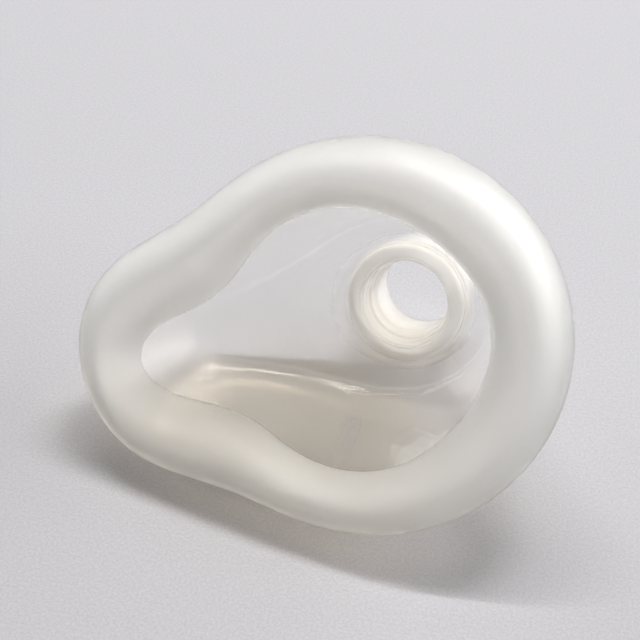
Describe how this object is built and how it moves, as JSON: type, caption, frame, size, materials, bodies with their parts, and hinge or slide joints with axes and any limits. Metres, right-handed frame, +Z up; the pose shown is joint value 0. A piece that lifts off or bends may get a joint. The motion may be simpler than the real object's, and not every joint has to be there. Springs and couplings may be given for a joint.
{
  "type": "anesthesia face mask",
  "caption": "One-piece translucent silicone anesthesia face mask with an inward-turned cushion, clear dome and a thick 22 mm female connector port, lying on its side.",
  "frame": {"origin": "centre of the bounding box in plan, at the table the mask lies on", "axes": "+Z up from the table, +X level from the nose end toward the chin end, the face opening looks to -Y and up, the port points to +Y and down"},
  "size_m": [0.1248, 0.0962, 0.0901],
  "materials": {
    "silicone": "translucent silicone: frosted cushion, clear glossy dome, milky port"
  },
  "bodies": {
    "root": {"mask": "silicone"}
  },
  "joints": []
}
